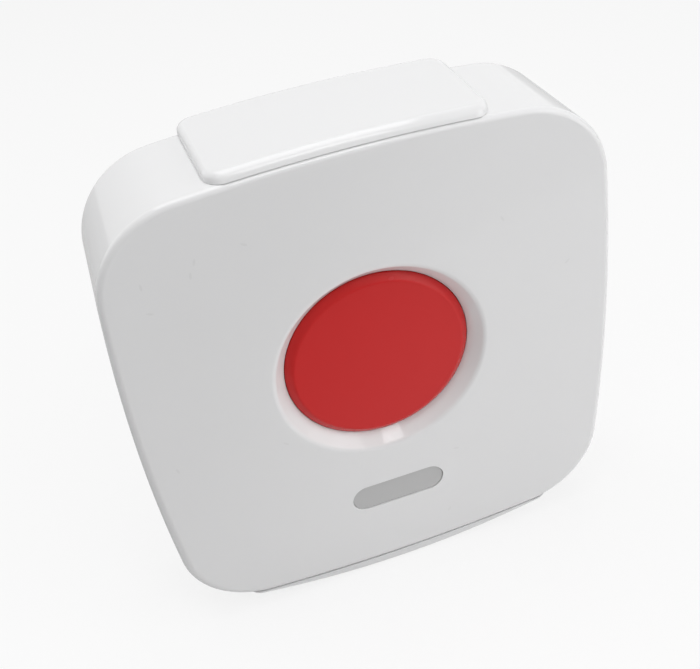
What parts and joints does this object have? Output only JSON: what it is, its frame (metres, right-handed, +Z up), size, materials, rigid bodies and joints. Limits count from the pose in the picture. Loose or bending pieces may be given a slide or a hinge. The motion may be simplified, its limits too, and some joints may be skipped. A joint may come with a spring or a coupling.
{
  "type": "panic button",
  "caption": "Wall-mounted panic button: a bowed square case with a large recessed press button, held from above and below by a U-shaped bracket.",
  "frame": {"origin": "middle of the bracket's wall face", "axes": "+X right, +Y into the wall (the button faces -Y), +Z up"},
  "size_m": [0.086, 0.0237, 0.0917],
  "materials": {
    "white_gloss": "glossy moulded white",
    "white_plastic": "glossy moulded white",
    "red_gloss": "satin-gloss moulded red",
    "badge_grey": "satin grey",
    "seal_rubber": "matt",
    "zinc_steel": "zinc plated",
    "spring_steel": "nickel plated",
    "tin_plate": "tinned sheet",
    "can_aluminium": "bright",
    "copper_wire": "enamelled copper",
    "board_green": "solder mask",
    "black_plastic": "matt",
    "grey_plastic": "matt",
    "cell_jacket": "plain printed jacket"
  },
  "bodies": {
    "bracket": {"wall_bracket": "white_plastic"},
    "case": {"front_cover": "white_gloss", "rear_cover": "white_plastic", "case_seal": "seal_rubber", "case_screws": "zinc_steel", "badge_plate": "badge_grey", "button_retainer": "white_plastic", "retainer_screws": "zinc_steel", "return_spring": "spring_steel", "circuit_board": "board_green", "board_screws": "zinc_steel", "push_switch_body": "black_plastic", "radio_board": "board_green", "radio_can": "tin_plate", "antenna_coil": "copper_wire", "controller_chip": "black_plastic", "smoothing_capacitor": "can_aluminium", "crystal_can": "tin_plate", "pairing_switch_body": "black_plastic", "battery_cell": "cell_jacket", "battery_spring_contact": "spring_steel", "battery_plate_contact": "spring_steel"},
    "button": {"button_cap": "red_gloss"},
    "plunger": {"push_switch_plunger": "grey_plastic"},
    "pairing_key": {"pairing_switch_key": "grey_plastic"},
    "door": {"battery_door": "white_plastic"}
  },
  "joints": [
    {"name": "case_release", "type": "slide", "parent": "bracket", "child": "case", "axis": [0, -1, 0], "range_m": [0, 0.026]},
    {"name": "button_press", "type": "slide", "parent": "case", "child": "button", "axis": [0, 1, 0], "range_m": [0, 0.0018], "stiffness_N_per_m": 1200, "springref_m": -0.002, "deforming": ["return_spring"]},
    {"name": "switch_press", "type": "slide", "parent": "case", "child": "plunger", "axis": [0, 1, 0], "range_m": [0, 0.0018]},
    {"name": "pairing_press", "type": "slide", "parent": "case", "child": "pairing_key", "axis": [0, -1, 0], "range_m": [0, 0.00025], "stiffness_N_per_m": 3000, "springref_m": -0.0002},
    {"name": "battery_door_lift", "type": "slide", "parent": "case", "child": "door", "axis": [0, 1, 0], "range_m": [0, 0.01]}
  ],
  "couplings": [
    {"joint": "switch_press", "follows": "button_press", "ratio": 1}
  ]
}
